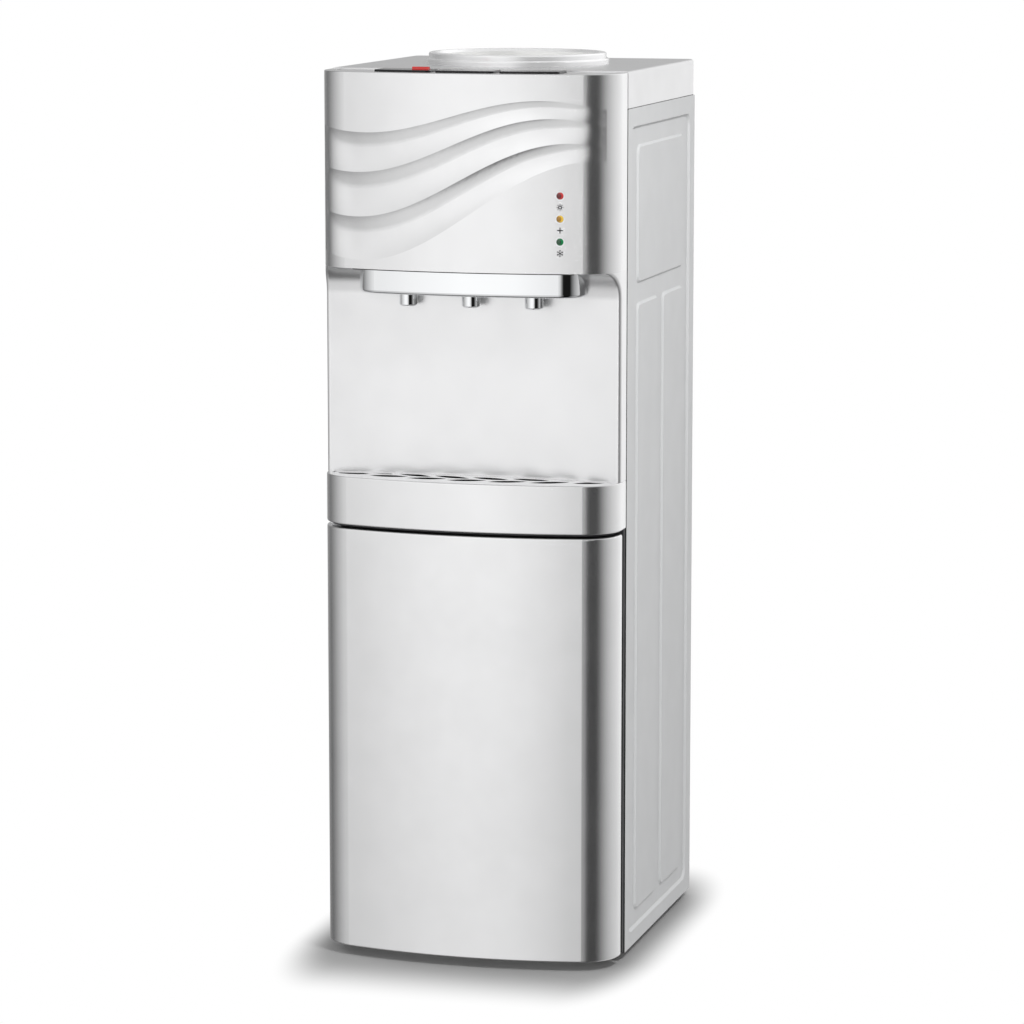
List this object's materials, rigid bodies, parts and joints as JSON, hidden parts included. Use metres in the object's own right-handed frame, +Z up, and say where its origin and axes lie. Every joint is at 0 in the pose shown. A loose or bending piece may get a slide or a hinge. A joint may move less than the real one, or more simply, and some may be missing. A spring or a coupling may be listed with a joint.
{
  "type": "water dispenser",
  "caption": "Floor-standing bottled-water dispenser with a bowed silver front, wave-relief fascia, open tap bay, top press keys, drip shelf and a hinged storage door.",
  "frame": {"origin": "on the floor under the middle of the bounding box", "axes": "+Z up, the front with the taps and the door faces -Y, +X to the right of someone facing the front"},
  "size_m": [0.32, 0.37, 0.95],
  "materials": {
    "side_paint": "satin light grey paint",
    "bare_steel": "zinc-plated sheet",
    "front_silver": "satin metallic silver",
    "bay_silver": "pale silver",
    "cap_silver": "pale silver",
    "ring_silver": "satin silver",
    "grille_silver": "satin silver",
    "chrome": "polished chrome",
    "key_black": "glossy black",
    "black_plastic": "matt black",
    "white_plastic": "matt off-white",
    "lock_red": "glossy red",
    "lens_red": "tinted lens",
    "lens_amber": "tinted lens",
    "lens_green": "tinted lens",
    "rocker_red": "glossy red",
    "rocker_green": "glossy green",
    "dark_rubber": "matt rubber",
    "clear_tube": "milky silicone",
    "stainless": "drawn stainless steel",
    "foam": "pale foam",
    "copper": "bare copper",
    "black_paint": "satin black paint",
    "board_green": "circuit board",
    "steel": "bright steel"
  },
  "bodies": {
    "cabinet": {"side_panel_right": "side_paint", "side_panel_left": "side_paint", "base_pan": "bare_steel", "feet": "dark_rubber", "rear_panel": "bare_steel", "fascia": "front_silver", "bay_panel": "bay_silver", "apron": "front_silver", "tap_bar": "chrome", "tap_valves": "white_plastic", "top_cap": "cap_silver", "lamp_bezels": "chrome", "lamp_board": "board_green", "key_carrier": "white_plastic", "door_frame": "black_plastic", "hinge_brackets": "steel", "door_catch": "black_plastic", "storage_liner": "white_plastic", "mid_shelf": "bare_steel", "tank_shelf": "bare_steel", "cold_tank": "stainless", "tank_foam": "foam", "evaporator": "copper", "hot_tank": "stainless", "heater_band": "steel", "thermostats": "black_plastic", "water_tubes": "clear_tube", "compressor": "black_paint", "compressor_mounts": "dark_rubber", "terminal_cover": "black_plastic", "condenser_tube": "black_paint", "condenser_wires": "black_paint", "filter_drier": "copper", "refrigerant_lines": "copper", "switch_housings": "black_plastic", "drain_outlet": "white_plastic", "cord_gland": "dark_rubber", "spouts": "chrome", "spring_hot": "steel", "spring_warm": "steel", "spring_cold": "steel", "lamp_red": "lens_red", "lamp_amber": "lens_amber", "lamp_green": "lens_green"},
    "door": {"door_skin": "front_silver", "door_panel": "white_plastic", "door_seal": "dark_rubber", "strike_plate": "steel"},
    "key_hot": {"key_hot": "key_black"},
    "key_warm": {"key_warm": "key_black"},
    "key_cold": {"key_cold": "key_black"},
    "child_lock": {"child_lock": "lock_red"},
    "drip_tray": {"drip_tray": "black_plastic"},
    "drip_grille": {"drip_grille": "grille_silver"},
    "bottle_seat": {"bottle_seat": "ring_silver", "seat_funnel": "white_plastic", "feed_probe": "white_plastic"},
    "rocker_heat": {"rocker_heat": "rocker_red"},
    "rocker_cool": {"rocker_cool": "rocker_green"},
    "drain_cap": {"drain_cap": "white_plastic"}
  },
  "joints": [
    {"name": "door_hinge", "type": "hinge", "parent": "cabinet", "child": "door", "pos_m": [-0.148, -0.137, 0.235], "axis": [0, 0, -1], "range_deg": [0, 110]},
    {"name": "press_hot", "type": "slide", "parent": "cabinet", "child": "key_hot", "axis": [0, 0, -1], "range_m": [0, 0.004], "stiffness_N_per_m": 600, "springref_m": -0.004, "deforming": ["spring_hot"]},
    {"name": "press_warm", "type": "slide", "parent": "cabinet", "child": "key_warm", "axis": [0, 0, -1], "range_m": [0, 0.004], "stiffness_N_per_m": 600, "springref_m": -0.004, "deforming": ["spring_warm"]},
    {"name": "press_cold", "type": "slide", "parent": "cabinet", "child": "key_cold", "axis": [0, 0, -1], "range_m": [0, 0.004], "stiffness_N_per_m": 600, "springref_m": -0.004, "deforming": ["spring_cold"]},
    {"name": "lock_slide", "type": "slide", "parent": "key_hot", "child": "child_lock", "axis": [0, 1, 0], "range_m": [0, 0.006], "stiffness_N_per_m": 80, "springref_m": -0.003},
    {"name": "tray_lift", "type": "slide", "parent": "cabinet", "child": "drip_tray", "axis": [0, 0, 1], "range_m": [0, 0.12]},
    {"name": "grille_lift", "type": "slide", "parent": "drip_tray", "child": "drip_grille", "axis": [0, 0, 1], "range_m": [0, 0.03]},
    {"name": "seat_lift", "type": "slide", "parent": "cabinet", "child": "bottle_seat", "axis": [0, 0, 1], "range_m": [0, 0.12]},
    {"name": "heat_switch", "type": "hinge", "parent": "cabinet", "child": "rocker_heat", "pos_m": [-0.122, 0.1432, 0.77], "axis": [1, 0, 0], "range_deg": [0, 16]},
    {"name": "cool_switch", "type": "hinge", "parent": "cabinet", "child": "rocker_cool", "pos_m": [-0.092, 0.1432, 0.77], "axis": [1, 0, 0], "range_deg": [0, 16]},
    {"name": "drain_turn", "type": "hinge", "parent": "cabinet", "child": "drain_cap", "pos_m": [0.07, 0.16, 0.258], "axis": [0, 1, 0], "continuous": true}
  ]
}
